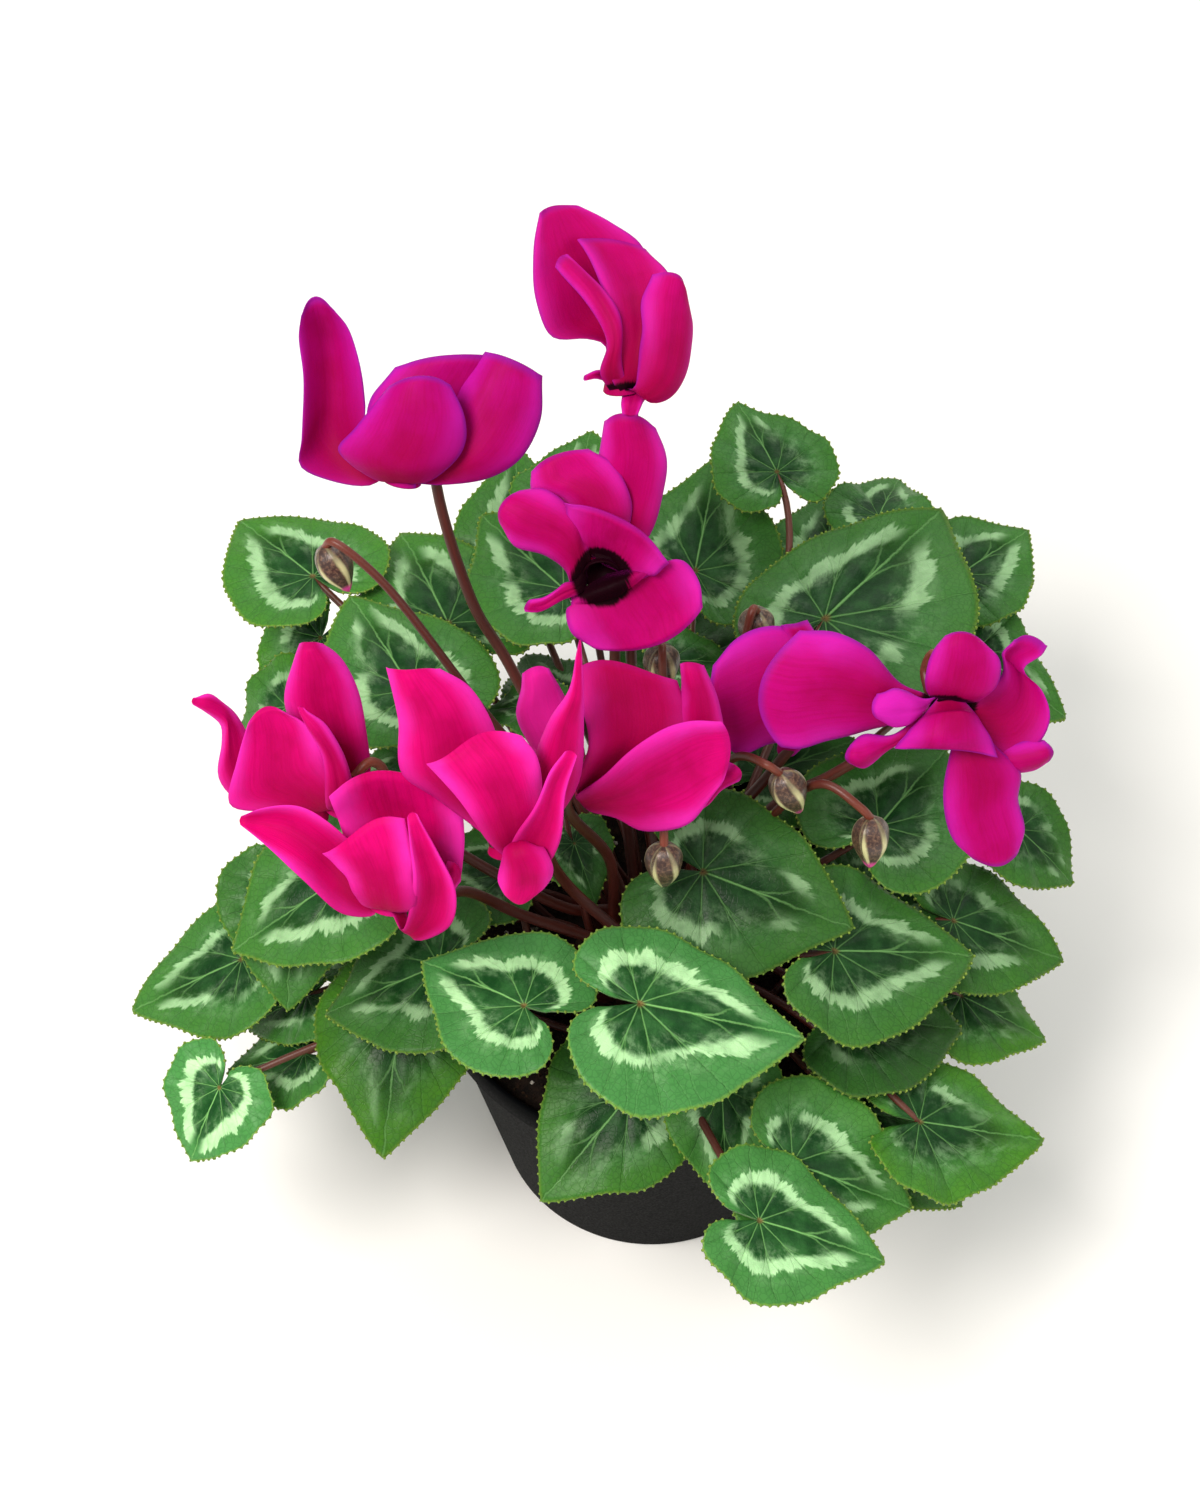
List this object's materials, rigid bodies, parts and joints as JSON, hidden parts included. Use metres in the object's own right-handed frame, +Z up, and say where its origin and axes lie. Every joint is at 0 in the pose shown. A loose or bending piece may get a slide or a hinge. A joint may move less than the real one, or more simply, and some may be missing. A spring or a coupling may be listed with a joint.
{
  "type": "potted cyclamen",
  "caption": "Potted houseplant: swept-back magenta blooms and nodding buds on arching stalks over marbled heart-shaped leaves, in a round plastic nursery pot.",
  "frame": {"origin": "centre of the underside of the pot's base", "axes": "+Z up through the pot's axis; -Y is the side the picture looks from, +X to its right"},
  "size_m": [0.2518, 0.2487, 0.2706],
  "materials": {
    "pot_plastic": "matt black moulded plastic with a faint sheen",
    "potting_soil": "moist crumbly peat with bark and perlite",
    "tuber_skin": "corky brown skin",
    "leaf_blade": "fleshy satin leaf, dark green with a broken silver band",
    "petal_velvet": "velvety magenta petal with a dark throat",
    "stalk_skin": "smooth red-brown stalk with a soft sheen"
  },
  "bodies": {
    "root": {"pot": "pot_plastic", "soil": "potting_soil", "tuber": "tuber_skin", "leaf_front": "leaf_blade", "leaf_front_left": "leaf_blade", "leaf_centre_right": "leaf_blade", "leaf_right": "leaf_blade", "leaf_right_back": "leaf_blade", "leaf_back_fold": "leaf_blade", "leaf_back_right": "leaf_blade", "leaf_back_middle": "leaf_blade", "leaf_back_left_upper": "leaf_blade", "leaf_back_left_lower": "leaf_blade", "leaf_small_centre": "leaf_blade", "leaf_far_left_upper": "leaf_blade", "leaf_far_left": "leaf_blade", "leaf_back_under_bloom": "leaf_blade", "leaf_back_top": "leaf_blade", "leaf_back_grey": "leaf_blade", "leaf_back_corner": "leaf_blade", "leaf_far_right": "leaf_blade", "leaf_right_under": "leaf_blade", "leaf_right_low": "leaf_blade", "leaf_right_shade": "leaf_blade", "leaf_front_right_low": "leaf_blade", "leaf_front_right_shade": "leaf_blade", "leaf_front_right_curled": "leaf_blade", "leaf_front_right_tip": "leaf_blade", "leaf_front_middle": "leaf_blade", "leaf_front_under": "leaf_blade", "leaf_left_shade": "leaf_blade", "leaf_left_hanging": "leaf_blade", "leaf_left_under": "leaf_blade", "leaf_left_inner": "leaf_blade", "leaf_far_left_tip": "leaf_blade", "leaf_left_upper": "leaf_blade", "stalk_back_left": "stalk_skin", "corolla_back_left": "petal_velvet", "stalk_top": "stalk_skin", "corolla_top": "petal_velvet", "stalk_back_centre": "stalk_skin", "corolla_back_centre": "petal_velvet", "stalk_half_open": "stalk_skin", "corolla_half_open": "petal_velvet", "stalk_right": "stalk_skin", "corolla_right": "petal_velvet", "stalk_centre": "stalk_skin", "corolla_centre": "petal_velvet", "stalk_front_centre": "stalk_skin", "corolla_front_centre": "petal_velvet", "stalk_far_left": "stalk_skin", "corolla_far_left": "petal_velvet", "stalk_front_left": "stalk_skin", "corolla_front_left": "petal_velvet", "bud_far": "stalk_skin", "bud_centre": "stalk_skin", "bud_right": "stalk_skin", "bud_right_low": "stalk_skin", "bud_back": "stalk_skin", "bud_back_low": "stalk_skin"}
  },
  "joints": []
}
